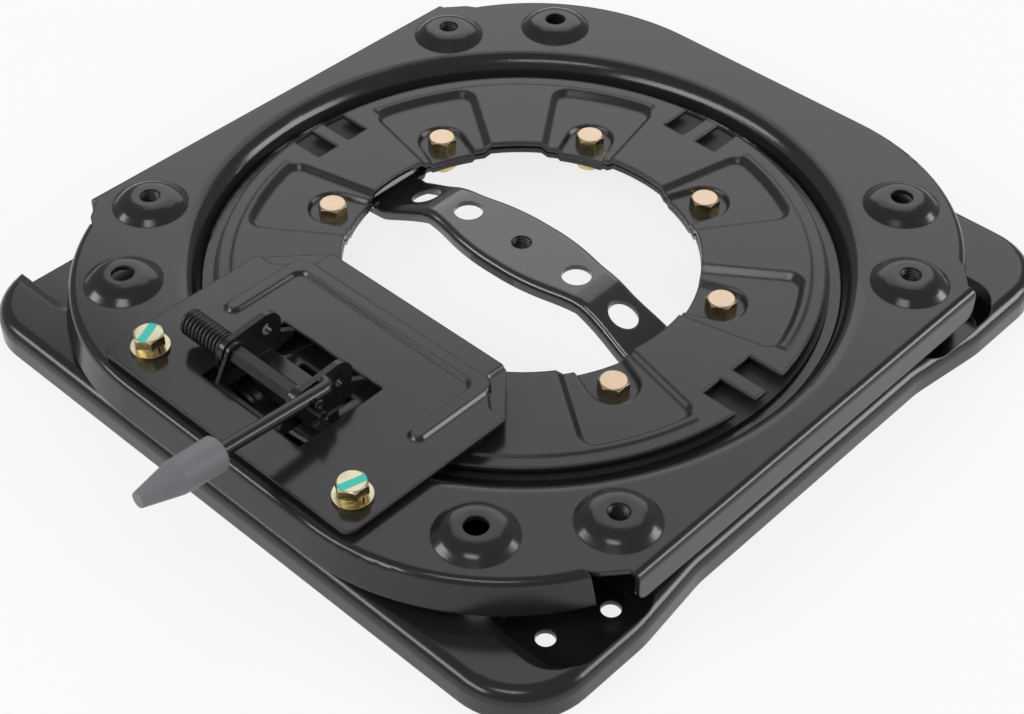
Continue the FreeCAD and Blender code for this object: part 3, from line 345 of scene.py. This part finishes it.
# Torsion spring: 2 mm wire wound round the pin. One end sits in the slot of the pin, and the other
# is led down and hooked beside the pawl.
pivot = Vector((0.0, -0.1553, 0.0525))
coil_end, coil_radius, coil_pitch, coil_turns, steps_a_turn = -0.0319, 0.0055, 0.00235, 10.5, 32
wire_radius, slot_depth = 0.001, 0.003
leg_drop, leg_bend, bend_middle, hook_end = 0.009, 0.0015, 0.0004, -0.0275
coil_start = coil_end - coil_pitch * coil_turns
wire = [(coil_start, pivot.y - slot_depth, pivot.z)]
for i in range(round(coil_turns * steps_a_turn) + 1):
    turn = 2 * math.pi * i / steps_a_turn
    wire.append((coil_start + coil_pitch * i / steps_a_turn, pivot.y + coil_radius * math.cos(turn),
                 pivot.z + coil_radius * math.sin(turn)))
knee_y, knee_z = pivot.y - coil_radius, pivot.z - leg_drop
wire += [(coil_end, knee_y, knee_z + leg_bend),
         (coil_end + bend_middle, knee_y, knee_z + bend_middle),
         (coil_end + leg_bend, knee_y, knee_z), (hook_end, knee_y, knee_z)]
curve = bpy.data.curves.new("spring_wire", "CURVE")
curve.dimensions = "3D"
curve.bevel_depth = wire_radius
curve.bevel_resolution = 4
curve.use_fill_caps = True
spline = curve.splines.new("POLY")
spline.points.add(len(wire) - 1)
for spot, at in zip(spline.points, wire):
    spot.co = (*at, 1.0)
spring = bpy.data.objects.new("spring_wire", curve)
scene.collection.objects.link(spring)
curve.materials.append(dark_steel.material)
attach(spring, "turntable")
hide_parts("torsion_spring")

# Pawl and lever: the pawl is folded from one sheet, with two teeth that drop into the notches of
# the retainer ring. The round bar of the lever is welded to its right cheek, and painted with it.
dress(latch_paint, "latch_pawl", "lever_rod")

# Grip: the handle's end, moulded of matt grey plastic and pushed onto the bar, with the faint
# line of its mould along it.
grip = Finish("grip_plastic", IOR=1.46)
grip_grain = grip.noise(scale=1100.0, detail=4.0)
grip_cloud = grip.noise(scale=45.0, detail=3.0)
rounded, edge = grip.rounding(radius=0.0006)
grip_x, seam_half_width = 0.0232, 0.0002
seam = abs(grip.axes()[0] - grip_x) < seam_half_width
grip_bump = grip.bump(grip_grain * 0.5 + seam, strength=0.25, distance=0.0002, Normal=rounded)
grip_colour = grip.blend(grip_cloud, (0.15, 0.155, 0.165, 1.0), (0.19, 0.195, 0.205, 1.0))
grip.surface(Base_Color=grip_colour, Roughness=0.42 + grip_grain * 0.12, Normal=grip_bump)
dress(grip, "lever_grip")

# Studio: a pale floor, a white room and softboxes on all sides. The flats reflect the two at the
# back, and the bends of the sheets show the others as bands.
reach = 6.0
floor_corners = [(-reach, -reach, 0), (reach, -reach, 0), (reach, reach, 0), (-reach, reach, 0)]
floor_mesh = bpy.data.meshes.new("floor")
floor_mesh.from_pydata(floor_corners, [], [(0, 1, 2, 3)])
floor = bpy.data.objects.new("floor", floor_mesh)
scene.collection.objects.link(floor)
pale = Finish("pale_floor", Roughness=0.9, Base_Color=(0.85, 0.85, 0.85, 1.0))
glow = pale.node("Emission", values={"Color": (1, 1, 1, 1), "Strength": 1.0})
glow_share = 0.82
seen = pale.node("LightPath", output="Is Camera Ray")
mirrored = pale.node("LightPath", output="Is Glossy Ray")
lit = Socket(pale.shader.outputs[0])
mixed = pale.node("MixShader", values={0: (seen + mirrored) * glow_share, 1: lit, 2: glow})
pale.feed(pale.nodes["Material Output"].inputs["Surface"], mixed)
floor_mesh.materials.append(pale.material)


def softbox(name, place, size, radiance):
    """Rectangular lamp that faces the object, as bright as its radiance in every direction."""
    lamp = bpy.data.lights.new(name, "AREA")
    lamp.shape = "RECTANGLE"
    lamp.size, lamp.size_y = size
    lamp.energy = radiance * size[0] * size[1] * math.pi
    stand = bpy.data.objects.new(name, lamp)
    stand.location = place
    stand.rotation_euler = (-Vector(place)).to_track_quat("-Z", "Y").to_euler()
    scene.collection.objects.link(stand)


softbox("softbox_back", place=(-1.25, 1.55, 1.2), size=(2.2, 1.0), radiance=1.3)
softbox("softbox_top", place=(-0.95, 1.2, 2.0), size=(1.7, 0.9), radiance=1.0)
softbox("softbox_left", place=(-0.75, -1.6, 1.1), size=(2.2, 0.45), radiance=6.5)
softbox("softbox_front", place=(0.5, -0.95, 1.9), size=(0.8, 0.35), radiance=6.0)
softbox("softbox_right", place=(1.5, 1.3, 0.8), size=(1.4, 0.7), radiance=6.5)

world = bpy.data.worlds.new("studio")
scene.world = world
world.use_nodes = True
background = world.node_tree.nodes["Background"]
path = world.node_tree.nodes.new("ShaderNodeLightPath")
room_light, added_where_seen = 0.3, 0.7
strength = Socket(path.outputs["Is Camera Ray"]) * added_where_seen + room_light
world.node_tree.links.new(strength.socket, background.inputs["Strength"])
background.inputs["Color"].default_value = (1, 1, 1, 1)
scene.view_settings.view_transform = "Standard"
